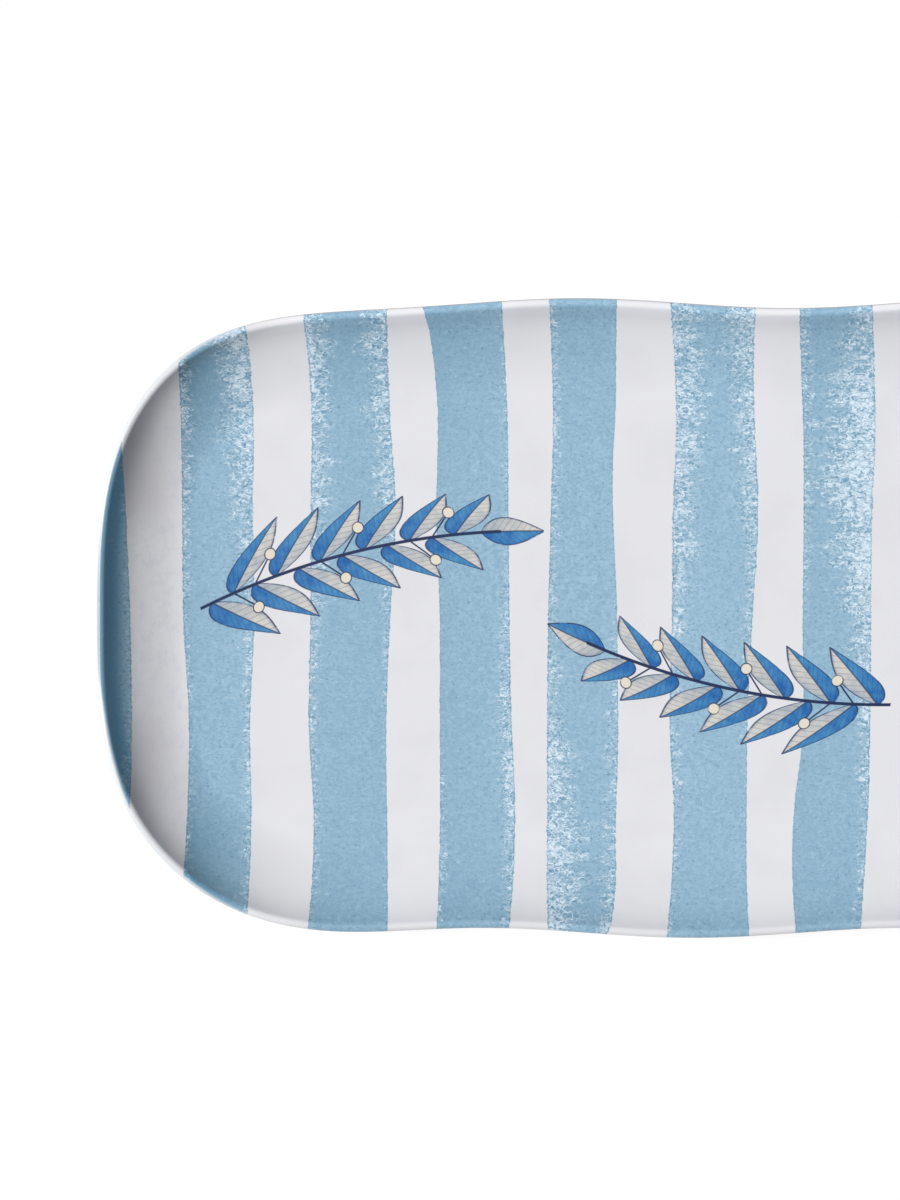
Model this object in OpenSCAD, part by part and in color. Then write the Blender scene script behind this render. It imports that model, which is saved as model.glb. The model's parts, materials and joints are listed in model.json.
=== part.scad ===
// Long serving platter with waved sides and softly squared ends: a pressed resin dish,
// a printed foil over its whole top face and a clear overlay over the print.
// Millimetres. The origin is the middle of the foot's underside, +X runs along the
// length, -Y is the front side and +Z is up.

/* [Plan] */
// Overall length, end to end
length = 380; // [320:1:480]
// Overall width over the crests of the waved sides
width = 194; // [150:1:260]
// Length over which each end rounds off
end_round = 110; // [70:1:140]
// How square the ends are, where 2 is a plain ellipse
end_squareness = 3; // [2.2:0.1:3.6]

/* [Waved sides] */
// Height of the wave above and below the mean line of a side
wave_height = 1.5; // [0:0.1:4]
// Distance from one wave crest to the next
wave_pitch = 128; // [90:1:200]
// Place of a wave crest on the front side, from the middle
front_crest = -9; // [-60:1:60]
// Place of a wave crest on the back side, from the middle
back_crest = -44; // [-60:1:60]

/* [Wall] */
// Thickness of the dish, layers included
wall = 3; // [2:0.1:5]
// Breadth of the wall in plan, from the edge of the floor to the lip
wall_sweep = 24.5; // [14:0.5:32]
// Rise of the wall's long gentle sweep
sweep_rise = 8.6; // [5:0.2:14]
// Power of the sweep's curve, where 2 is a parabola and less is straighter
sweep_power = 1.62; // [1.4:0.02:2.4]
// Further rise where the wall turns up to the lip
turn_rise = 2.2; // [0:0.2:4]
// Power of the turn's curve, where more keeps the turn closer to the lip
turn_power = 8; // [4:1:12]

/* [Foot ring] */
// Height of the foot ring under the floor
foot_height = 1.6; // [0.8:0.1:4]
// Width of the foot ring's flat underside
foot_width = 3.5; // [2:0.5:8]
// Distance from the edge of the flat floor in to the foot ring's flat
foot_inset = 5; // [1:0.5:12]
// How far each side of the foot ring leans in as it comes down from the floor
foot_draft = 0.6; // [0:0.1:1]

/* [Pressed layers] */
// Thickness of the printed foil
foil = 0.2; // [0.1:0.05:0.4]
// Thickness of the clear overlay
overlay = 0.2; // [0.1:0.05:0.4]

/* [Hidden] */

// Steps round one quarter of an end and along one straight side
end_steps = 17;
side_steps = 16;
// Steps up the wall, over the lip to its outermost line, and under the lip
wall_steps = 6;
lip_steps = 5;
under_steps = 2;
// Draws the steps up the wall together towards the lip
step_gather = 1.4;
// Draws the steps of an end together towards its tip and its side, to space them evenly
step_spread = 1.25;

lip_r = wall / 2;
floor_z = foot_height + wall;
side_half = length / 2 - end_round;
half_width = width / 2 - wave_height;

// One quarter of an end as [distance from the middle, share of the half-width], from its tip
function end_station(turn) =
    [
        side_half + end_round * pow(cos(turn), 2 / end_squareness),
        pow(sin(turn), 2 / end_squareness)
    ];
function spread(share) = pow(share, step_spread) / (pow(share, step_spread) + pow(1 - share, step_spread));
end_stations = [for (i = [0 : end_steps]) end_station(90 * spread(i / end_steps))];

// The whole length in such stations, from the left tip to the right tip
stations = concat(
    [for (s = end_stations) [-s.x, s.y]],
    [for (i = [1 : side_steps - 1]) [side_half * (2 * i / side_steps - 1), 1]],
    [for (i = [end_steps : -1 : 0]) end_stations[i]]
);
last_station = len(stations) - 1;

// The plan outline, along the front side to the right and back along the back side
function waved(x, crest) = half_width + wave_height * cos(360 * (x - crest) / wave_pitch);
outline = concat(
    [for (i = [0 : last_station - 1]) [stations[i].x, -stations[i].y * waved(stations[i].x, front_crest)]],
    [for (i = [last_station : -1 : 1]) [stations[i].x, stations[i].y * waved(stations[i].x, back_crest)]]
);
count = len(outline);

// The direction straight in from the outline at each of its points
function inward(i) =
    let (
        before = outline[i] - outline[(i + count - 1) % count],
        after = outline[(i + 1) % count] - outline[i],
        along = before * norm(after) / norm(before) + after * norm(before) / norm(after)
    )
    [-along.y, along.x] / norm(along);
inwards = [for (i = [0 : count - 1]) inward(i)];

// The wall's height over the floor and its tilt, by the share of the way up to the lip.
// Tilt is how far the face leans from level.
function wall_height(up) = sweep_rise * pow(up, sweep_power) + turn_rise * pow(up, turn_power);
function wall_tilt(up) =
    atan(
        (
            sweep_power * sweep_rise * pow(up, sweep_power - 1)
            + turn_power * turn_rise * pow(up, turn_power - 1)
        ) / wall_sweep
    );

// The lip is a half circle that meets both faces of the wall, which leans furthest there
lean = wall_tilt(1);
lip_inset = lip_r + lip_r * sin(lean);
lip_z = floor_z + wall_height(1) - lip_r * cos(lean);
lip_tilts = concat(
    [for (i = [1 : lip_steps]) lean - (lean + 90) * i / lip_steps],
    [for (i = [1 : under_steps]) -90 - (90 - lean) * i / under_steps]
);
lip_edge = wall_steps + lip_steps;

// The top face's section as [inset, height, tilt], the same all round: from the edge of the
// floor up the wall, over the lip to its outermost line, and then on under the lip
wall_shares = [for (i = [0 : wall_steps]) 1 - pow(1 - i / wall_steps, step_gather)];
section = concat(
    [for (up = wall_shares) [lip_inset + wall_sweep * (1 - up), floor_z + wall_height(up), wall_tilt(up)]],
    [for (tilt = lip_tilts) [lip_r + lip_r * sin(tilt), lip_z + lip_r * cos(tilt), tilt]]
);

// One closed line round the platter: a step of the section, a distance below the top face
function line(step, below) =
    let (
        tilt = section[step][2],
        inset = section[step][0] - below * sin(tilt),
        z = section[step][1] - below * cos(tilt)
    )
    [for (i = [0 : count - 1]) [outline[i].x + inwards[i].x * inset, outline[i].y + inwards[i].y * inset, z]];
function lines_at(steps, below) = [for (step = steps) line(step, below)];

// The place of a line's point among all points, and the two triangles from one line to the next
function at(row, i) = row * count + i % count;
function patch(a, b, i) = [
    [at(a, i), at(a, i + 1), at(b, i + 1)],
    [at(a, i), at(b, i + 1), at(b, i)]
];

// A closed solid whose skin runs from a point in the middle of its top over the lines to a
// point in the middle of its underside
module lofted(lines, top_z, under_z) {
    rows = len(lines);
    top = rows * count;
    points = concat([for (row = lines) each row], [[0, 0, top_z], [0, 0, under_z]]);
    skin = [for (k = [0 : rows - 2], i = [0 : count - 1]) each patch(k, k + 1, i)];
    top_fan = [for (i = [0 : count - 1]) [top, at(0, i + 1), at(0, i)]];
    under_fan = [for (i = [0 : count - 1]) [top + 1, at(rows - 1, i), at(rows - 1, i + 1)]];
    polyhedron(points, concat(top_fan, skin, under_fan), convexity = 4);
}

// A closed band whose skin runs over the lines and back to the first
module lofted_band(lines) {
    rows = len(lines);
    points = [for (row = lines) each row];
    skin = [for (k = [0 : rows - 1], i = [0 : count - 1]) each patch(k, (k + 1) % rows, i)];
    polyhedron(points, skin, convexity = 4);
}

// A pressed layer of the top face, between two distances below it
module top_layer(upper, lower) {
    lines = concat(
        lines_at([0 : lip_edge], upper),
        lines_at([lip_edge : -1 : 0], lower)
    );
    lofted(lines, floor_z - upper, floor_z - lower);
}

// The dish: under the layers, out over the lip and back along the outside of the wall
module dish() {
    lines = concat(
        lines_at([0 : lip_edge], foil + overlay),
        lines_at([lip_edge : lip_edge + under_steps], 0),
        lines_at([wall_steps - 1 : -1 : 0], wall)
    );
    lofted(lines, floor_z - foil - overlay, foot_height);
}

// A line of the foot ring, a distance in from the outer edge of its flat. The ring runs up
// into the middle of the dish's thickness.
function foot_line(in, z) =
    let (inset = lip_inset + wall_sweep + foot_inset + in)
    [for (i = [0 : count - 1]) [outline[i].x + inwards[i].x * inset, outline[i].y + inwards[i].y * inset, z]];
module foot_ring() {
    top_z = foot_height + wall / 2;
    lean = foot_draft * top_z / foot_height;
    lofted_band([
        foot_line(foot_width + lean, top_z),
        foot_line(-lean, top_z),
        foot_line(0, 0),
        foot_line(foot_width, 0)
    ]);
}

module moulded_body() {
    color("#e9e8ea")
        union() {
            dish();
            foot_ring();
        }
}

module printed_foil() {
    color("#98bcd1")
        top_layer(overlay, overlay + foil);
}

module clear_overlay() {
    color("#f4f7f8", 0.3)
        top_layer(0, overlay);
}

moulded_body();
printed_foil();
clear_overlay();
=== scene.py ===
# %% [markdown]
# # A long striped serving platter
#
# The platter is pressed from melamine resin in three layers: a white dish that also carries the
# foot ring, a printed paper over the whole top face, and a clear coat over the print. The sizes and
# the place of every layer are already settled in the packed model. This lesson loads that model,
# rebuilds its faceted layers as smooth meshes, and then paints them with nodes alone.

# %% Load the packed platter
import json
import math

import bmesh
import bpy
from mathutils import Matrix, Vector

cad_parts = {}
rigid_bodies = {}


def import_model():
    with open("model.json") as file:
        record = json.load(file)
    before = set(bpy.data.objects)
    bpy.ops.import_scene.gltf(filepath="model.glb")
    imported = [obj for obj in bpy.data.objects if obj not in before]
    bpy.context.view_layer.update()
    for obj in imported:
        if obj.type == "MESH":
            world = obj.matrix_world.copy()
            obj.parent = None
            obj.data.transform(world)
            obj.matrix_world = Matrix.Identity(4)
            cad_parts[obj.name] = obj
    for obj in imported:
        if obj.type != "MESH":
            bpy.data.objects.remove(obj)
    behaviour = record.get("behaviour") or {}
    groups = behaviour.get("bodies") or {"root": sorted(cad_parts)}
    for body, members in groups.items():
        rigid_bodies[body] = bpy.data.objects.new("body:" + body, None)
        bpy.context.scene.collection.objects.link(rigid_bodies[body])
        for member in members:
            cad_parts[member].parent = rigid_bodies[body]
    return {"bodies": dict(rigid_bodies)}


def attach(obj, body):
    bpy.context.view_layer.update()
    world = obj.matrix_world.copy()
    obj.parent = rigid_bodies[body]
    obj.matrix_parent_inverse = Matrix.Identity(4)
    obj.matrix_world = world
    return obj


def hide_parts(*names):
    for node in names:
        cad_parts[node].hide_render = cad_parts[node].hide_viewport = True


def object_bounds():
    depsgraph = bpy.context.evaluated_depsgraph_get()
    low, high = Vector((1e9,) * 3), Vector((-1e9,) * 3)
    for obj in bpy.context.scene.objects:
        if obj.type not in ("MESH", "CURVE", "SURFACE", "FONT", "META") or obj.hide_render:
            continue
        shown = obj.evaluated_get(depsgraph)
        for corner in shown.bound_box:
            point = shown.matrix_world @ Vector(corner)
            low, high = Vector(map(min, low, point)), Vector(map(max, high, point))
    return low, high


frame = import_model()
cad_low, cad_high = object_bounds()
body_name = next(iter(frame["bodies"]))
print("packed box in mm", [round(1000 * side, 2) for side in cad_high - cad_low])

# %% [markdown]
# ## Camera
#
# The photograph looks straight down and its right edge cuts the platter off. A long lens keeps the
# rim and the floor at nearly one scale, as a product photographer would. The camera hangs over the
# point of the platter that lies in the middle of the picture, so it needs no lens shift, and other
# views can swing round the object freely.

# %% Hang the camera over the platter
MM = 0.001
picture_wide, picture_tall = 900, 1200
pixels_per_mm = 3.3
platter_middle_px = (723, 618)
rim_height = 15 * MM
lens_mm, sensor_mm = 100, 36

view_x = (picture_wide / 2 - platter_middle_px[0]) / pixels_per_mm * MM
view_y = (platter_middle_px[1] - picture_tall / 2) / pixels_per_mm * MM
picture_height = picture_tall / pixels_per_mm * MM
distance = picture_height * lens_mm / sensor_mm

bpy.ops.object.camera_add(location=(view_x, view_y, rim_height + distance), rotation=(0, 0, 0))
camera = bpy.context.object
camera.name = "overhead_camera"
camera.data.lens = lens_mm
camera.data.sensor_width = sensor_mm
bpy.context.scene.camera = camera
print("camera", round(distance, 3), "m above the rim, over", round(view_x, 4), round(view_y, 4))

# %% [markdown]
# ## The plan
#
# Seen from above, the outline is a long oblong. Each end is a superellipse, a curve between an
# ellipse and a rectangle, and each long side swings in and out by a millimetre and a half. The front
# and the back side wave out of step. A formula gives a clean line with as many points as the render
# needs, where a traced line would carry every wobble of the tracing hand.

# %% Walk once round the outline
wave_height = 1.5 * MM
wave_pitch = 128 * MM
front_crest, back_crest = -9 * MM, -44 * MM
end_round = 110 * MM
end_squareness = 3
end_steps, side_steps, step_spread = 40, 36, 1.25

half_length = (cad_high.x - cad_low.x) / 2
half_width = min(cad_high.y, -cad_low.y) - wave_height
side_half = half_length - end_round


def end_station(share):
    """Distance from the middle and share of the half-width, from an end's tip at 0 to its side at 1."""
    near, far = share**step_spread, (1 - share) ** step_spread
    turn = math.pi / 2 * near / (near + far)
    power = 2 / end_squareness
    return side_half + end_round * max(math.cos(turn), 0) ** power, math.sin(turn) ** power


def waved(x, crest):
    return half_width + wave_height * math.cos(2 * math.pi * (x - crest) / wave_pitch)


end_turn = [end_station(i / end_steps) for i in range(end_steps + 1)]
straight = [(side_half * (2 * i / side_steps - 1), 1) for i in range(1, side_steps)]
stations = [(-x, share) for x, share in end_turn] + straight + end_turn[::-1]
front = [Vector((x, -share * waved(x, front_crest))) for x, share in stations[:-1]]
back = [Vector((x, share * waved(x, back_crest))) for x, share in stations[:0:-1]]
outline = front + back
print("outline points", len(outline))

# %% [markdown]
# ## The section
#
# A cut through the wall shows a flat floor, a long gentle sweep, a turn up close to the edge, and a
# half-round lip as thick as the wall. The section is the same all round. Every point of it also knows
# how far its face leans, because a second layer lies a fixed depth below the first, measured square
# to the face.

# %% Shape the wall and the lip
wall = 3 * MM
layers = 0.4 * MM
foot_height = 1.6 * MM
wall_sweep = 24.5 * MM
sweep_rise, sweep_power = 8.59 * MM, 1.62
turn_rise, turn_power = 2.2 * MM, 8
lip_radius = wall / 2
floor_height = foot_height + wall


def wall_height(up):
    """Height over the floor, by the share of the way up from the floor's edge at 0 to the lip at 1."""
    return sweep_rise * up**sweep_power + turn_rise * up**turn_power


def wall_tilt(up):
    sweep_slope = sweep_power * sweep_rise * up ** (sweep_power - 1)
    turn_slope = turn_power * turn_rise * up ** (turn_power - 1)
    return math.atan((sweep_slope + turn_slope) / wall_sweep)


lean = wall_tilt(1)
lip_inset = lip_radius * (1 + math.sin(lean))
lip_middle = floor_height + wall_height(1) - lip_radius * math.cos(lean)


def wall_point(up):
    """Inset, height and lean of the wall."""
    return lip_inset + wall_sweep * (1 - up), floor_height + wall_height(up), wall_tilt(up)


def lip_point(over):
    """The same on the lip: 1 meets the wall, 0 is the outermost line, -1 meets the outer face."""
    quarter = math.pi / 2
    tilt = -quarter + over * (quarter + lean if over > 0 else quarter - lean)
    return lip_radius * (1 + math.sin(tilt)), lip_middle + lip_radius * math.cos(tilt), tilt


print("wall leans", round(math.degrees(lean), 1), "degrees at the lip")

# %% [markdown]
# A ring is that section's point carried all the way round: at each point of the outline, the inset is
# measured straight in. The loft will run over such rings.

# %% Carry a point of the section round the outline


def inward(i):
    """The direction straight in from the outline at one of its points."""
    before = outline[i] - outline[i - 1]
    after = outline[(i + 1) % len(outline)] - outline[i]
    along = before * after.length / before.length + after * before.length / after.length
    return Vector((-along.y, along.x)).normalized()


inwards = [inward(i) for i in range(len(outline))]


def ring(point, share, below=0):
    """One closed line round the platter, as places in space and insets from the outline."""
    inset, height, tilt = point(share)
    inset -= below * math.sin(tilt)
    height -= below * math.cos(tilt)
    return [(Vector((*(start + way * inset), height)), inset) for start, way in zip(outline, inwards)]


tip = ring(lip_point, 0.6)[0][0]
print("lip at the left tip, in mm", [round(value / MM, 2) for value in tip])

# %% [markdown]
# ## Lofting by hand
#
# A loft is a stack of loops joined by faces. In Blender it starts from a circle, whose points are
# pushed onto the first loop. Extruding the loop makes a new one joined to it, which is then set on
# the next line of the section, and so on. Each point carries its number round the outline, so that
# an extruded point always knows which place on the next line is its own.

# %% Tools for lofting
floor_shares = (0.8, 0.55, 0.3, 0.1)


def set_loop(line):
    """Puts the selected loop's points on a line and notes how far in from the outline they lie."""
    mesh = bpy.context.object.data
    cage = bmesh.from_edit_mesh(mesh)
    number = cage.verts.layers.int["number"]
    rim = cage.verts.layers.float["rim"]
    for vert in cage.verts:
        if vert.select:
            spot, inset = line[vert[number]]
            vert.co = spot
            vert[rim] = inset / MM
    bmesh.update_edit_mesh(mesh)


def start_loft(name, line):
    """Adds a circle with a point for each place on the line, and stays in edit mode."""
    bpy.ops.object.select_all(action="DESELECT")
    bpy.ops.mesh.primitive_circle_add(vertices=len(line), radius=half_length, fill_type="NOTHING")
    piece = bpy.context.object
    piece.name = piece.data.name = name
    bpy.ops.object.mode_set(mode="EDIT")
    bpy.ops.mesh.select_mode(type="VERT")
    bpy.ops.mesh.select_all(action="SELECT")
    cage = bmesh.from_edit_mesh(piece.data)
    cage.verts.layers.float.new("rim")
    number = cage.verts.layers.int.new("number")
    for i, vert in enumerate(cage.verts):
        vert[number] = i
    set_loop(line)
    return piece


def loft_on(lines):
    """Extrudes the selected loop over each of the lines in turn."""
    for line in lines:
        bpy.ops.mesh.extrude_region_move()
        set_loop(line)


def close_flat(line):
    """Draws the selected loop in over a flat floor and closes it in the middle."""
    for share in floor_shares:
        shrunk = [(Vector((spot.x * share, spot.y * share, spot.z)), inset) for spot, inset in line]
        loft_on([shrunk])
    bpy.ops.mesh.merge(type="CENTER")


def select_open_edge():
    """Selects the one loop that is still open, which is where the loft started."""
    bpy.ops.mesh.select_all(action="DESELECT")
    bpy.ops.mesh.select_non_manifold(
        use_wire=False, use_boundary=True, use_multi_face=False, use_non_contiguous=False, use_verts=False
    )


def end_loft():
    """Turns all faces outwards, leaves edit mode and smooths the shading."""
    bpy.ops.mesh.select_all(action="SELECT")
    bpy.ops.mesh.normals_make_consistent(inside=False)
    bpy.ops.object.mode_set(mode="OBJECT")
    bpy.ops.object.shade_smooth_by_angle(angle=math.radians(smooth_angle))
    piece = bpy.context.object
    print(piece.name, len(piece.data.vertices), "points", len(piece.data.polygons), "faces")


# %% [markdown]
# ## The printed face
#
# The printed paper and the clear coat are pressed together over the whole top of the dish, out to the
# outermost line of the lip. They are one visible skin, so one closed sheet stands for both: its upper
# loops run from the lip to the middle of the floor, and the loops below return under them.

# %% Loft the printed face
lip_steps, wall_steps, step_gather = 10, 18, 1.4
wall_shares = [1 - (i / wall_steps) ** step_gather for i in range(1, wall_steps + 1)]
smooth_angle = 50


def top_lines(below):
    """The lines of the top face from the lip's outermost line to the edge of the floor."""
    over_lip = [ring(lip_point, i / lip_steps, below) for i in range(lip_steps + 1)]
    return over_lip + [ring(wall_point, share, below) for share in wall_shares]


upper_lines = top_lines(0)
lower_lines = top_lines(layers)
printed_face = start_loft("printed_face", upper_lines[0])
loft_on(upper_lines[1:])
close_flat(upper_lines[-1])
select_open_edge()
loft_on(lower_lines)
close_flat(lower_lines[-1])
end_loft()
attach(printed_face, body_name)
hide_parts("printed_foil", "clear_overlay")

# %% [markdown]
# ## The pressed dish
#
# The dish is the white body under the print. Its loft starts at the same line of the lip, runs in
# under the layers, and then turns the other way: under the lip, down the outer face at a constant
# thickness, over the foot ring and in to the middle of the underside. The press leaves the foot ring
# with a small round on both edges of its flat, which a bevel makes.

# %% Loft the dish and its foot ring
foot_inset = 5 * MM
foot_width = 3.5 * MM
foot_draft = 0.6 * MM
foot_edge_round = 0.5 * MM
level_within = 0.01 * MM
under_steps = 5


def foot_line(further_in, height):
    """A line of the foot ring, a distance in from the outer edge of its flat."""
    line = []
    reach = foot_inset + further_in
    for (spot, inset), way in zip(upper_lines[-1], inwards):
        line.append((Vector((spot.x + way.x * reach, spot.y + way.y * reach, height)), inset + reach))
    return line


dish = start_loft("pressed_dish", lower_lines[0])
loft_on(lower_lines[1:])
close_flat(lower_lines[-1])
select_open_edge()
loft_on([ring(lip_point, -i / under_steps) for i in range(under_steps + 1)])
loft_on([ring(wall_point, share, wall) for share in wall_shares])
foot_lines = [
    foot_line(-foot_draft, foot_height),
    foot_line(0, 0),
    foot_line(foot_width, 0),
    foot_line(foot_width + foot_draft, foot_height),
]
loft_on(foot_lines)
close_flat(foot_lines[-1])

cage = bmesh.from_edit_mesh(dish.data)
number = cage.verts.layers.int["number"]
bpy.ops.mesh.select_all(action="DESELECT")
bpy.ops.mesh.select_mode(type="EDGE")
for edge in cage.edges:
    first, second = edge.verts
    on_flat = max(first.co.z, second.co.z) < level_within
    edge.select = on_flat and first[number] != second[number]
bmesh.update_edit_mesh(dish.data)
bpy.ops.mesh.bevel(offset=foot_edge_round, segments=3, affect="EDGES")
end_loft()
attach(dish, body_name)
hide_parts("moulded_body")

# %% [markdown]
# ## Shader maths
#
# A painted pattern is arithmetic on the place of each point. One small class lets that arithmetic be
# written as Python: it wraps an output socket, and adding or multiplying two of them adds the Math
# node that does so. All its values are in millimetres on the platter, so that a stripe can be given
# its width as a ruler would read it.


# %% A number that changes over the surface
class Field:
    """One output socket of a material's nodes, which can be used in Python expressions."""

    def __init__(self, tree, socket):
        self.tree = tree
        self.socket = socket

    def node(self, kind, settings, inputs, output=0):
        """Adds a node: its settings first, then the values or links of its sockets."""
        made = self.tree.nodes.new(kind)
        for name, value in settings.items():
            setattr(made, name, value)
        for name, value in inputs.items():
            if isinstance(value, Field):
                self.tree.links.new(value.socket, made.inputs[name])
            else:
                made.inputs[name].default_value = value
        return Field(self.tree, made.outputs[output])

    def math(self, operation, *values):
        return self.node("ShaderNodeMath", {"operation": operation}, dict(enumerate(values)))

    def __add__(self, other):
        return self.math("ADD", self, other)

    def __sub__(self, other):
        return self.math("SUBTRACT", self, other)

    def __rsub__(self, other):
        return self.math("SUBTRACT", other, self)

    def __mul__(self, other):
        return self.math("MULTIPLY", self, other)

    def __truediv__(self, other):
        return self.math("DIVIDE", self, other)

    def __abs__(self):
        return self.math("ABSOLUTE", self)

    __radd__ = __add__
    __rmul__ = __mul__

    def least(self, other):
        return self.math("MINIMUM", self, other)

    def most(self, other):
        return self.math("MAXIMUM", self, other)

    def rounded_down(self):
        return self.math("FLOOR", self)

    def modulo(self, step):
        return self.math("MODULO", self, step)

    def power(self, exponent):
        return self.math("POWER", self, exponent)

    def root(self):
        return self.math("SQRT", self)

    def sine(self):
        return self.math("SINE", self)

    def over(self, limit):
        """1 where the value passes the limit, and 0 elsewhere."""
        return self.math("GREATER_THAN", self, limit)

    def under(self, limit):
        return self.math("LESS_THAN", self, limit)

    def rise(self, low, high):
        """A smooth step from 0 at low to 1 at high."""
        inputs = {"Value": self, "From Min": low, "From Max": high}
        return self.node("ShaderNodeMapRange", {"interpolation_type": "SMOOTHSTEP"}, inputs)

    def fall(self, low, high):
        return 1 - self.rise(low, high)

    def stretched(self, x, y, shift=0):
        """A place, stretched along each axis and moved to another part of a texture."""
        inputs = {0: self, 1: (x, y, 1), 2: (shift, 2 * shift, 0)}
        return self.node("ShaderNodeVectorMath", {"operation": "MULTIPLY_ADD"}, inputs)

    def noise(self, detail=2, roughness=0.5, curl=0):
        """Cloudy noise from 0 to 1 at a place, one blob to a unit."""
        inputs = {"Vector": self, "Scale": 1, "Detail": detail, "Roughness": roughness, "Distortion": curl}
        return self.node("ShaderNodeTexNoise", {"noise_dimensions": "2D"}, inputs)

    def curve(self, values, swing):
        """A smooth curve through values that are spread evenly along a field from 0 to 1.

        The node draws in a unit square, whose height stands for swing units of the values.
        """
        line = self.node("ShaderNodeFloatCurve", {}, {"Value": self})
        middle = (min(values) + max(values)) / 2
        last = len(values) - 1
        spots = [(i / last, 0.5 + (value - middle) / swing) for i, value in enumerate(values)]
        mapping = line.socket.node.mapping
        points = mapping.curves[0].points
        points[0].location, points[1].location = spots[0], spots[-1]
        for spot in spots[1:-1]:
            points.new(*spot)
        mapping.update()
        return (line - 0.5) * swing + middle

    def blend(self, lower, upper, way="MIX"):
        """Two colours mixed by this mask."""
        settings = {"data_type": "RGBA", "blend_type": way}
        return self.node("ShaderNodeMix", settings, {0: self, 6: lower, 7: upper}, output=2)


print("Field knows", len([name for name in vars(Field) if not name.startswith("_")]), "operations")

# %% [markdown]
# Every finish starts in the same way: a new material, its shader, and the place of a point on the
# platter in millimetres, whole and in its three parts. Colours are written as a picture editor shows
# them and made linear for the shader.

# %% Tools for finishes


def colour(red, green, blue):
    """A colour as a picture editor shows it, from 0 to 255, made linear for the shader."""
    linear = []
    for value in (red, green, blue):
        part = value / 255
        linear.append(part / 12.92 if part <= 0.04045 else ((part + 0.055) / 1.055) ** 2.4)
    return (*linear, 1)


def new_finish(name):
    """A material with a shader, its place on the platter in millimetres, and that place's parts."""
    finish = bpy.data.materials.new(name)
    finish.use_nodes = True
    tree = finish.node_tree
    shader = tree.nodes["Principled BSDF"]
    start = Field(tree, tree.nodes.new("ShaderNodeTexCoord").outputs["Object"])
    place = start.node("ShaderNodeVectorMath", {"operation": "SCALE"}, {0: start, "Scale": 1 / MM})
    parts = [place.node("ShaderNodeSeparateXYZ", {}, {0: place}, output=i) for i in range(3)]
    return finish, shader, place, parts


def feed(shader, socket, field):
    field.tree.links.new(field.socket, shader.inputs[socket])


def press_grain(shader, height, distance_mm):
    """Lets a height in the range 0 to 1 stand out of the surface."""
    inputs = {"Height": height, "Distance": distance_mm * MM, "Strength": 1}
    feed(shader, "Normal", height.node("ShaderNodeBump", {}, inputs))


# %% [markdown]
# ## White melamine
#
# Melamine pressed without print is a slightly warm white, hard and satin. The press leaves a faint
# cloudiness in it, and the flat of the foot ring is scuffed grey by shelves and sinks, so the scuffs
# are masked by height and broken up by long thin noise.

# %% The dish's finish
melamine, melamine_shader, place, (_, _, height) = new_finish("white_melamine")
melamine_white = colour(232, 231, 232)
melamine_cloud = colour(224, 223, 225)
scuff_grey = colour(176, 173, 170)
scuff_height = 0.15

cloud = place.stretched(0.03, 0.03).noise(detail=3)
base = cloud.rise(0.4, 0.7).blend(melamine_white, melamine_cloud)
scratches = place.stretched(0.25, 1.6).noise(detail=4, roughness=0.7).rise(0.5, 0.62)
scuffs = height.fall(scuff_height, 3 * scuff_height) * scratches * 0.8
feed(melamine_shader, "Base Color", scuffs.blend(base, scuff_grey))
grain = place.stretched(0.8, 0.8).noise(detail=3)
feed(melamine_shader, "Roughness", 0.36 + grain * 0.08 + scuffs * 0.2)
press_grain(melamine_shader, grain, distance_mm=0.01)
melamine_shader.inputs["Coat Weight"].default_value = 0.2
melamine_shader.inputs["Coat Roughness"].default_value = 0.3
dish.data.materials.append(melamine)
print("finish", melamine.name, len(melamine.node_tree.nodes), "nodes")

# %% [markdown]
# ## The print: brushed stripes
#
# Pale blue stripes run across the platter, painted by hand with a wide brush. No two are alike, so
# each is described by how the hand moved: where its left and its right edge run from the front of the
# platter to the back, how dry the brush was along each of them, and how much paint it carried. The
# first and the last stripe run off the platter's tips.

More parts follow.
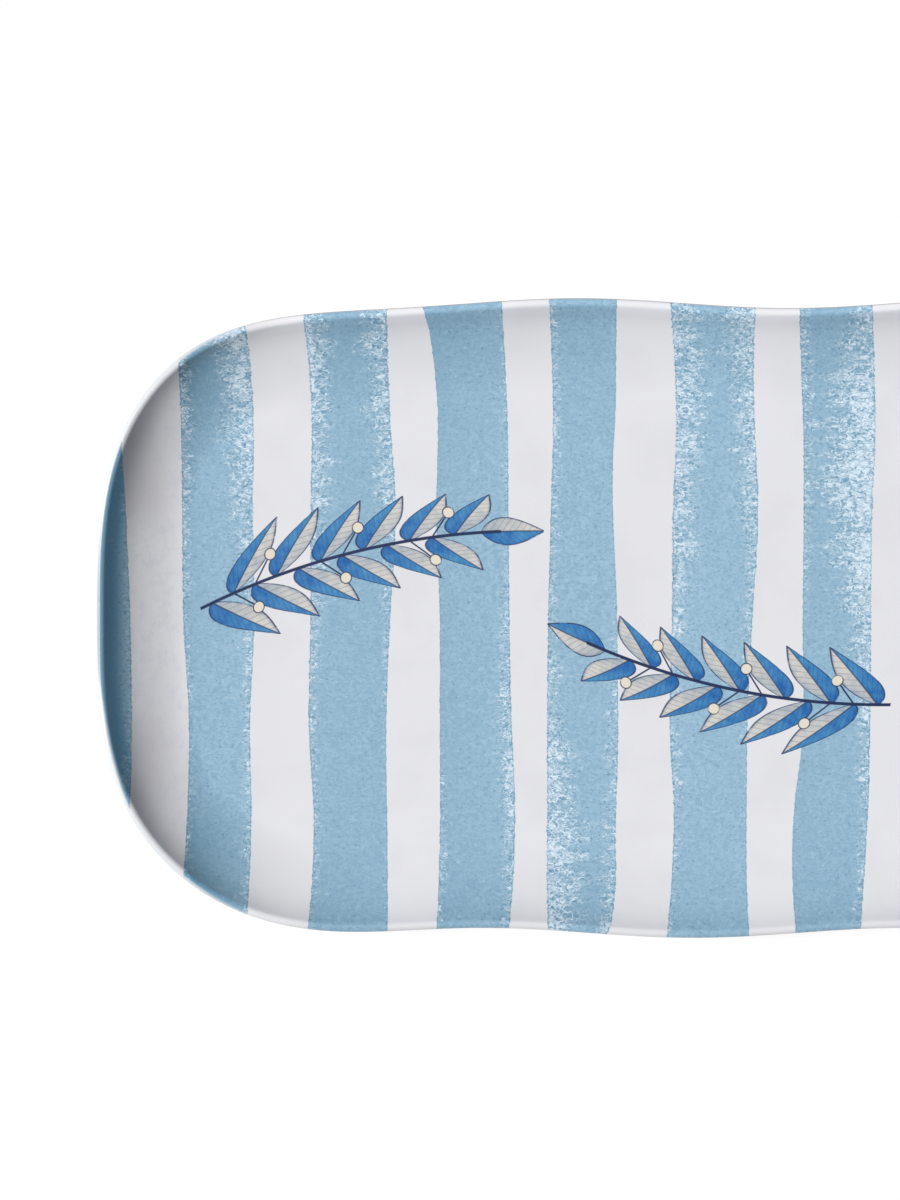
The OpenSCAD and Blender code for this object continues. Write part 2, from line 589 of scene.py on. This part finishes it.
# %% Lay out the stripes
# Left edge and right edge from front to back, in mm, the dryness along each of them, and how much
# paint the brush carried at its left and at its right
stripes = (
    (
        (-200, -200),
        (-181.7, -179.8, -179.6, -180.1, -181.3, -182.5, -183),
        (0, 0),
        (0.3, 0.5, 0.3, 0.3),
        (0, 0),
    ),
    (
        (-164.1, -163.1, -162.7, -164.4, -164.7, -164.9, -165.3),
        (-144.3, -143.5, -143.9, -142.6, -143.1, -142.9, -145.6),
        (0.4, 0.25, 0.5, 0.75),
        (0.5, 0.45, 0.9, 1.3),
        (0, 0),
    ),
    (
        (-126, -124.5, -126, -125.5, -125.4, -125.2, -127.8),
        (-101.6, -101.9, -102.2, -101, -99.4, -101.2, -101.9),
        (0.25, 0.45, 0.8, 0.88),
        (0.2, 0.15, 0.8, 0.95),
        (0.15, 0.15),
    ),
    (
        (-86.9, -85.8, -85.9, -85.9, -86.9, -86.6, -91.8),
        (-65.1, -62.8, -63.8, -64.5, -64.8, -65.2, -67.1),
        (0.3, 0.35, 0.05, 0.05, 0.05, 0, 0),
        (0.4, 0.7, 0.3, 0.2),
        (0.2, 0.03),
    ),
    (
        (-53.2, -53, -53, -52.7, -51.9, -51.2, -52.7),
        (-35.4, -32.1, -32, -31.5, -31.2, -31.3, -31.5, -32.1, -32.8, -32.8, -32, -32, -32.2),
        (1.1, 1.2, 0.8, 0.5, 0.45, 0.45, 0.45),
        (0.65, 0.65, 0.5, 0.2, 0.05, 0.05, 0.1),
        (0.08, 0.04),
    ),
    (
        (-17.1, -14.3, -15.5, -14.8, -14.5, -13.5, -16.2),
        (7.8, 8.1, 8.4, 9.9, 11.6, 10.4, 9.8),
        (0.3, 0.5, 0.98, 1.05),
        (0.05, 0.25, 0.75, 1.15),
        (0, 0.02),
    ),
    (
        (21.9, 22.3, 25.3, 25.2, 25.5, 25.2, 22.7),
        (41.2, 45, 45.9, 46.2, 46.5, 47.5, 44.9),
        (0.2, 0.05, 0.45, 0.6),
        (0.35, 0.5, 0.65, 1, 1.35, 1.35, 0.7),
        (0.14, 0.06),
    ),
    (
        (61.4, 60.9, 60.2, 61, 62.3, 61.6, 59.8),
        (83.6, 82.4, 82.9, 82.2, 81.3, 82.6, 81),
        (0.2, 0.3, 0.2, 0.3),
        (0.1, 0.4, 0.6, 0.3),
        (0.12, 0.08),
    ),
    (
        (97.2, 98.6, 98, 96.9, 97.5, 96.4, 97.8),
        (119.5, 121.2, 122, 120.6, 121.3, 122.4, 120.9),
        (0.5, 0.9, 0.7, 0.4),
        (0.2, 0.3, 0.5, 0.8),
        (0.05, 0.1),
    ),
    (
        (138.9, 137.6, 138.4, 139.5, 138.2, 137.4, 138),
        (159.6, 160.8, 161.3, 160.2, 159.4, 160.5, 159),
        (0.3, 0.5, 0.9, 0.8),
        (0.2, 0.2, 0.2, 0.4),
        (0.1, 0.12),
    ),
    (
        (182.6, 181.4, 180.3, 179.9, 180.8, 181.9, 182.4),
        (200, 200),
        (0.1, 0.3, 0.2, 0.2),
        (0, 0),
        (0.05, 0.05),
    ),
)
print("stripes", len(stripes))

# %% [markdown]
# A curve node draws a smooth line through such a row of values. A loop then adds every stripe to four
# fields: how deep a point lies inside the nearest stripe, how dry the paint is there, how ragged the
# edge is, and how much paint there is. A slightly dry edge becomes a narrow rough line and a very dry
# one a wide band, broken into strands as the hairs of the brush leave them. Either way the paper shows
# most right at the edge.

# %% Draw the edges of the stripes
stripe_reach = 96
path_swing, dry_swing = 20, 3
edge_shake, tooth_shake, tooth_reach = 0.35, 1.2, 2
least_band, dry_band = 2, 9.5
full_part, crowd_part, crowd_share = 0.4, 0.8, 0.4
bare_gain, bare_slope, bare_start = 2.2, 0.9, 0.35
strand_swing, strand_least = 1.6, 0.2
far_out = 100

print_finish, print_shader, place, (along, across, _) = new_finish("striped_print")
to_back = across / (2 * stripe_reach) + 0.5
shake = place.stretched(0.4, 0.5, 40).noise(detail=3, roughness=0.6) - 0.5
painted = along + shake * (2 * edge_shake)
strand = place.stretched(0.04, 0.3, 420).noise(detail=3) * strand_swing + strand_least

dryness = ragged = load = along * 0
inside = along * 0 - far_out
for left, right, dry_left, dry_right, (paint_left, paint_right) in stripes:
    from_left = painted - to_back.curve(left, path_swing)
    from_right = to_back.curve(right, path_swing) - painted
    depth = from_left.least(from_right)
    inside = inside.most(depth)
    on_stripe = depth.over(0)
    over_stripe = from_left / (from_left + from_right)
    load = load + on_stripe * (over_stripe * (paint_right - paint_left) + paint_left)
    for distance, values in ((from_left, dry_left), (from_right, dry_right)):
        dry = to_back.curve(values, dry_swing)
        in_band = distance / ((dry * dry * dry_band + least_band) * strand)
        crowded = in_band.fall(full_part, 1) * (1 - crowd_share) + in_band.fall(0, crowd_part) * crowd_share
        bared = (dry * bare_gain).least(dry * bare_slope + bare_start)
        dryness = dryness + bared * crowded * on_stripe
        ragged = ragged.most(dry * abs(distance).fall(0, tooth_reach))
tooth = place.stretched(0.8, 1.1, 330).noise(detail=3, roughness=0.7) - 0.5
inside = inside + tooth * ragged * tooth_shake


def count_nodes(step):
    """Says how far the print's nodes have grown with one more step."""
    print("print with its", step, "has", len(print_finish.node_tree.nodes), "nodes")


count_nodes("edges")

# %% [markdown]
# A dry brush leaves the paper bare in small flakes, which crowd towards a dry edge. They are fine noise,
# wider than high, whose threshold sinks as the brush gets drier. Thin curls run among them, where a
# second noise passes through its middle value, and a third noise makes some of them brighter than
# others. Paint that catches on the paper's tooth leaves darker specks, and what paint is left pools in
# a thin broken line along the edge itself.

# %% Scatter flakes, curls and specks
clump_swing, clump_least = 1.8, 0.1
most_dry, dry_lift = 1.7, 0.16
curl_breadth = 0.075
bright_swing, bright_least = 0.55, 0.28
speck_strength = 0.8
pool_inset, pool_swing, pool_least = 0.15, 0.4, 0.3

clumps = place.stretched(0.1, 0.16, 90).noise(detail=2)
dry_here = (dryness * (clumps * clump_swing + clump_least)).least(most_dry)
lift = dry_here * dry_lift
flake_noise = place.stretched(0.62, 1, 150).noise(detail=3, roughness=0.6, curl=1)
flakes = (flake_noise + lift).rise(0.6, 0.8)
curl_noise = place.stretched(0.6, 0.9, 180).noise(detail=1, curl=1.5)
breaks = place.stretched(0.3, 0.5, 240).noise(detail=2).rise(0.4, 0.55)
curls = abs(curl_noise - 0.5).fall(0, curl_breadth) * breaks * dry_here.least(1)
bright_noise = place.stretched(0.55, 0.9, 270).noise(detail=3, roughness=0.6).rise(0.3, 0.65)
bareness = (bright_noise * bright_swing + lift + bright_least) * dry_here.rise(-0.3, 0.4)
bare_paper = flakes.most(curls) * bareness

speck_noise = place.stretched(0.8, 1.2, 210).noise(detail=3, roughness=0.65)
specks = (speck_noise + lift).rise(0.57, 0.78) * speck_strength
pool_line = abs(inside - pool_inset).fall(0.1, 0.35) * speck_noise.rise(0.35, 0.55)
pooled = pool_line * (dry_here.least(1) * pool_swing + pool_least)
count_nodes("flakes")

# %% [markdown]
# The wash is never even: a fine grain and slow swirls shift it between two blues. It is deeper where the
# brush was well loaded, and deeper again where a stripe turns up the long walls, which is painted shade.
# At the left end the first whole stripe is darker on its left side, in its corners and on the front of
# its lip, painted shade that carries the shade of the end wall into it. The stripe at the tip carries
# painted shade too: it is deepest and bluest under its lip, where the end wall lies in shade, paler
# further in, and its flakes are painted bluer for the same shade. On the lip itself it turns grey.

# %% Mix the wash
wash = colour(144, 181, 206)
wash_pale = colour(165, 199, 220)
# Deep paint where the brush was loaded, and also the colour of the painted shade on the walls and at the
# left end
deep_wash_and_shade = colour(98, 146, 174)
# Painted shade of the stripe at the tip: its colours as it looks in the shade of the end wall
tip_shade_deep = colour(108, 166, 200)
tip_shade_mid = colour(158, 190, 212)
tip_lip_grey = colour(125, 146, 160)
flake_white = colour(223, 240, 252)
# Flakes at the tip painted bluer, as painted shade
tip_flake_in_shade = colour(176, 208, 226)
first_left, first_right, first_margin = -164, -140, 6
tip_from, tip_to = -176, -174
grain_share, swirl_share = 0.4, 0.6
# Strengths of the painted shade on the first whole stripe, its front lip and the long walls
first_stripe_shade_strength, corner_shade_strength, left_shade_strength, front_lip_shade_strength, wall_shade_strength = 0.12, 0.35, 0.2, 0.45, 0.1

rim = place.node("ShaderNodeAttribute", {"attribute_name": "rim"}, {}, output="Fac")
wash_grain = place.stretched(0.5, 0.8, 70).noise(detail=5, roughness=0.75)
swirl = place.stretched(0.3, 0.4, 390).noise(detail=3, roughness=0.65, curl=2)
brushed = (wash_grain * grain_share + swirl * swirl_share).rise(0.35, 0.65).blend(wash, wash_pale)
at_tip = along.fall(tip_from, tip_to)
# Painted shade at the tip: deepest under the lip, paler further in, and grey on the lip itself
tip_painted_shade = rim.rise(1, 2.5).blend(tip_lip_grey, rim.rise(4, 10).blend(tip_shade_deep, tip_shade_mid))
brushed = at_tip.blend(brushed, tip_painted_shade)

past_tip = 1 - at_tip
# Painted shade on the first whole stripe: its left side and its corners, towards the shaded end wall
corner_painted_shade = abs(across).rise(46, 72) * corner_shade_strength
left_side_painted_shade = along.fall(first_left, first_left + first_margin) * left_shade_strength
end_painted_shade = (corner_painted_shade + left_side_painted_shade + first_stripe_shade_strength) * along.fall(first_left, first_right) * past_tip
# Painted shade on the front of the first stripe's lip
front_lip = rim.rise(0.2, 0.8) * rim.fall(1.8, 3.2) * across.fall(-10, 10)
front_lip_painted_shade = front_lip * along.fall(first_right - first_margin, first_right) * past_tip * front_lip_shade_strength
# Painted shade where the stripes turn up the long walls
wall_painted_shade = abs(across).rise(40, 85) * wall_shade_strength
brushed = (load + end_painted_shade + front_lip_painted_shade + wall_painted_shade).blend(brushed, deep_wash_and_shade)
brushed = specks.blend(brushed, deep_wash_and_shade)
brushed = bare_paper.blend(brushed, at_tip.blend(flake_white, tip_flake_in_shade))
brushed = pooled.blend(brushed, deep_wash_and_shade)
count_nodes("wash")

# %% [markdown]
# Between the stripes the paper is white, with a faint cloud in it. Towards both ends, where it is
# pressed round the tightest curves, it is mottled. At the shoulders of the ends a painted shade greys
# the paper, standing in for the shade on the wall there.

# %% Lay the stripes on the paper
paper = colour(231, 231, 235)
paper_cloud = colour(227, 227, 232)
paper_mottle = colour(221, 221, 230)
# The grey of the painted shade at the shoulders of the ends
paper_painted_shade = colour(206, 205, 211)
shoulder_middle, shoulder_shade_strength = 46, 0.9
ink_soft = 0.12

ground = place.stretched(0.05, 0.05, 20).noise(detail=4).rise(0.45, 0.7).blend(paper, paper_cloud)
mottle = place.stretched(0.25, 0.2, 360).noise(detail=5, roughness=0.75).rise(0.4, 0.75)
ground = (mottle * abs(along).rise(145, 168)).blend(ground, paper_mottle)
# Painted shade: the paper is greyed at the shoulders of both ends, where the wall lies in shade
shoulder_painted_shade = abs(along).rise(164, 178) * abs(abs(across) - shoulder_middle).fall(5, 26)
ground = (shoulder_painted_shade * shoulder_shade_strength).blend(ground, paper_painted_shade)
striped = inside.rise(-ink_soft, ink_soft).blend(ground, brushed)
count_nodes("stripes")

# %% [markdown]
# ## The print: leafy sprigs
#
# Three sprigs lie across the stripes, each turned the other way from the last. They are one drawing:
# the place is first folded so that all three share one stem. Along a stem, every leaf is the same
# shape moved on by one spacing, so a leaf is found by rounding, and its outline is a sine over its
# length. The leaves of one side are shifted by half a spacing to make them alternate.

# %% Fold the place onto one sprig
sprig_count, sprig_repeat, sprig_offset = 3, 108, 17
sprig_lean = math.radians(13)
stem_half, stem_bow = 42, 4

sprig = (along / sprig_repeat + sprig_count / 2).rounded_down().most(0).least(sprig_count - 1)
turn = 1 - 2 * sprig.modulo(2)
from_x = along - (sprig - 1) * sprig_repeat
from_y = across - turn * sprig_offset
stem_x = turn * (from_x * math.cos(sprig_lean) + from_y * turn * math.sin(sprig_lean))
stem_y = turn * (from_y * math.cos(sprig_lean) - from_x * turn * math.sin(sprig_lean))
bowed = stem_y - stem_bow * (1 - (stem_x / stem_half) * (stem_x / stem_half))
off_stem = abs(bowed)
below = 1 - bowed.over(0)
count_nodes("stems")

# %% [markdown]
# Every shape of the sprig is a depth: how far a point lies inside it, and less than nothing outside. Two
# shapes are joined by taking the greater depth, and a leaf or a berry that should not be there is pushed
# far outside.

# %% Draw the leaves, the stem and the berries
leaf_spacing, leaf_angle = 14, math.radians(47)
leaf_length, leaf_taper, leaf_breadth, leaf_bend = 19, 1.5, 4.3, 1.5
leaf_fullness, leaf_reach, past_end_drop = 0.75, 3, 200
stem_thick, stem_tail, tip_overlap = 0.5, 11, 6
berry_radius, berry_height, stalk_thick = 1.7, 7, 0.25
# Keeps the numbers of the gaps between leaves above 0, where a remainder is never negative
gap_shift = 20

leaf_x = stem_x - off_stem / math.tan(leaf_angle) + below * (leaf_spacing / 2)
leaf = (leaf_x / leaf_spacing + 0.5).rounded_down()
leaf_share = off_stem / ((leaf_length - leaf * leaf_taper) * math.sin(leaf_angle))
off_rib = (leaf_x - leaf * leaf_spacing) * math.sin(leaf_angle) - leaf_share * leaf_share * leaf_bend
tip_share = (stem_x - stem_half + tip_overlap) / leaf_length


def inside_leaf(share, off_middle):
    """How deep a point lies in a leaf, whose outline is fullest before the middle of its length."""
    half_breadth = (share.most(0).power(leaf_fullness) * math.pi).sine() * leaf_breadth
    past_ends = (share - 1).most(0 - share).most(0)
    return half_breadth - off_middle - past_ends * past_end_drop


side_leaf = inside_leaf(leaf_share, abs(off_rib)) - abs(leaf + 0.5).over(leaf_reach) * far_out
tip_leaf = inside_leaf(tip_share, off_stem)
in_leaf = side_leaf.most(tip_leaf)
in_stem = (stem_thick - off_stem).least(stem_x + stem_half + stem_tail).least(stem_half - stem_x)

gap = (leaf_x / leaf_spacing).rounded_down()
every_other = (gap + gap_shift).modulo(2).over(0.5)
no_berry = (1 - every_other * abs(gap + 0.5).under(leaf_reach)) * far_out
berry_y = off_stem - berry_height
stalk_x = leaf_x - (gap + 0.5) * leaf_spacing
berry_x = stalk_x + berry_y / math.tan(leaf_angle)
in_berry = berry_radius - (berry_x * berry_x + berry_y * berry_y).root() - no_berry
off_stalk = abs(stalk_x) * math.sin(leaf_angle)
in_stalk = (stalk_thick - off_stalk).least(berry_height - off_stem) - no_berry
count_nodes("leaves")

# %% [markdown]
# The sprigs are coloured like a wash drawing: one half of each leaf in a blue that runs darker towards
# the stem, the other half in a warm grey, fine veins, cream berries, and a dark line round everything
# that thins out where the pen lifted. A wash dries darkest along its edge, so the paint deepens there.

# %% Colour the sprigs
leaf_blue = colour(24, 98, 172)
leaf_pale = colour(86, 160, 206)
leaf_grey = colour(214, 211, 206)
leaf_shade = colour(164, 176, 186)
berry_cream = colour(232, 224, 208)
pen = colour(24, 44, 86)
vein_pitch, vein_slant = 3.2, 0.9

wet = place.stretched(0.3, 0.3, 260).noise(detail=4, roughness=0.6)
in_tip_leaf = tip_leaf.over(side_leaf)
share = leaf_share + in_tip_leaf * (tip_share - leaf_share)
off_middle = off_rib + in_tip_leaf * (bowed - off_rib)
blue_half = (share * 0.6 + wet * 1.2 - 0.5).most(0).least(1).blend(leaf_blue, leaf_pale)
grey_half = (1 - share * 1.2 + wet * 1.4 - 0.8).most(0).least(1).blend(leaf_grey, leaf_shade)
leaf_paint = off_middle.rise(-0.15, 0.15).blend(blue_half, grey_half)
leaf_paint = (in_leaf.fall(0, 0.9) * 0.35).blend(leaf_paint, leaf_blue)
up_rib = share * leaf_length + (1 - in_tip_leaf) * off_middle / math.tan(leaf_angle)
veins = ((up_rib - abs(off_middle) * vein_slant) * vein_pitch).sine().rise(0.8, 1) * 0.35
rib = abs(off_middle).fall(0.1, 0.32)
leaf_paint = veins.most(rib * 0.8).blend(leaf_paint, pen)
pen_lift = wet.rise(0.3, 0.5) * 0.5 + 0.4

drawn = in_leaf.rise(-ink_soft, ink_soft).blend(striped, leaf_paint)
drawn = (abs(in_leaf).fall(0.08, 0.3) * pen_lift).blend(drawn, pen)
drawn = in_stem.most(in_stalk).rise(-0.15, 0.15).blend(drawn, pen)
drawn = in_berry.rise(-ink_soft, ink_soft).blend(drawn, berry_cream)
drawn = (abs(in_berry).fall(0.08, 0.3) * pen_lift).blend(drawn, pen)
count_nodes("sprigs")

# %% [markdown]
# ## The print: its edge and its shine
#
# The printed paper is cut a little smaller than the dish, so at the two ends a white line of resin
# shows along the lip. The line is narrow in the middle of an end, and broader at the front of the left
# end, where the paper lies a little askew. Along the back, away from the ends, a fine brownish line of
# painted shade runs on the outermost edge of the lip, and a painted light makes the print paler on the
# lip and the top of the back wall. The clear coat over all of it is satin, with a grain too fine to feel.

# %% Finish the print
lip_white = colour(212, 216, 219)
# Gain of the painted light on the back lip
painted_light_gain = (1.14, 1.14, 1.14, 1)
# Brownish colour of the painted shade on the outermost edge of the back lip
edge_shade_brown = colour(168, 156, 146)
askew_middle = -37

end_part = abs(along).rise(120, 172)
askew = abs(across - askew_middle).fall(6, 22) * along.fall(-178, -168) * 0.8
bare_width = end_part * (0.3 + abs(across).rise(5, 40) * 0.6 + askew)
bare_lip = (rim - bare_width).fall(-0.3, 0.8) * end_part
# Painted shade: a thin brownish line along the outermost edge of the back lip
back_edge_painted_shade = rim.fall(0.15, 0.5) * across.rise(55, 75) * (1 - end_part) * 0.75
# Painted light: the print is made paler on the back lip and the top of the back wall
back_lip_painted_light = rim.fall(2.5, 5) * across.rise(40, 75) * abs(along).fall(130, 146)
drawn_with_painted_light = back_lip_painted_light.blend(drawn, painted_light_gain, way="MULTIPLY")
feed(print_shader, "Base Color", bare_lip.blend(back_edge_painted_shade.blend(drawn_with_painted_light, edge_shade_brown), lip_white))

grain = place.stretched(0.9, 0.9, 300).noise(detail=3)
feed(print_shader, "Roughness", 0.4 + grain * 0.1)
press_grain(print_shader, grain, distance_mm=0.012)
print_shader.inputs["Coat Weight"].default_value = 0.25
print_shader.inputs["Coat Roughness"].default_value = 0.3
printed_face.data.materials.append(print_finish)
print("finish", print_finish.name, len(print_finish.node_tree.nodes), "nodes")

# %% [markdown]
# ## Studio
#
# The picture is lit from the left by one large soft source and filled evenly from all around, on a
# white table. A sun lamp with a wide disc gives light that doesn't fall off along the platter. The
# sky is weak as a fill light, but white where the camera looks at it directly. The table is white to
# the camera too, yet still takes the platter's shadow, because only a part of its brightness is its
# own.

# %% Light the table
fill_share = 0.14
key_height, key_turn, key_softness = 46, 175.5, 20
table_size, table_drop = 4, 0.05 * MM
table_glow, table_light = 0.8, 1.05
table_white = colour(245, 245, 245)

key_lean = (0, math.radians(key_height - 90), math.radians(key_turn - 180))
bpy.ops.object.light_add(type="SUN", location=(-1, 0, 1), rotation=key_lean)
key = bpy.context.object
key.name = "soft_key"
key.data.angle = math.radians(key_softness)
key.data.energy = (1 - fill_share) * math.pi / math.sin(math.radians(key_height))

world = bpy.data.worlds.new("even_fill")
world.use_nodes = True
bpy.context.scene.world = world
tree = world.node_tree
sky = tree.nodes["Background"]
sky.inputs["Color"].default_value = (1, 1, 1, 1)
ray = Field(tree, tree.nodes.new("ShaderNodeLightPath").outputs["Is Camera Ray"])
feed(sky, "Strength", ray * (1 - fill_share) + fill_share)

bpy.ops.object.select_all(action="DESELECT")
bpy.ops.mesh.primitive_plane_add(size=table_size, location=(0, 0, -table_drop))
table = bpy.context.object
table.name = "table"

table_finish = bpy.data.materials.new("white_table")
table_finish.use_nodes = True
tree = table_finish.node_tree
matt = tree.nodes["Principled BSDF"]
matt.inputs["Base Color"].default_value = table_white
matt.inputs["Roughness"].default_value = 0.9
ray = Field(tree, tree.nodes.new("ShaderNodeLightPath").outputs["Is Camera Ray"])
glossy = Field(tree, ray.socket.node.outputs["Is Glossy Ray"])
through = Field(tree, ray.socket.node.outputs["Is Transmission Ray"])
glow = ray.node("ShaderNodeEmission", {}, {"Color": (1, 1, 1, 1), "Strength": table_light})
seen = ray.most(glossy).most(through) * table_glow
mixed = ray.node("ShaderNodeMixShader", {}, {0: seen, 1: Field(tree, matt.outputs["BSDF"]), 2: glow})
tree.links.new(mixed.socket, tree.nodes["Material Output"].inputs["Surface"])
table.data.materials.append(table_finish)

bpy.context.scene.view_settings.view_transform = "Standard"
print("key", round(key.data.energy, 2), "fill", fill_share)

# %% [markdown]
# ## The box
#
# The smooth meshes have to fill the same box as the packed model.
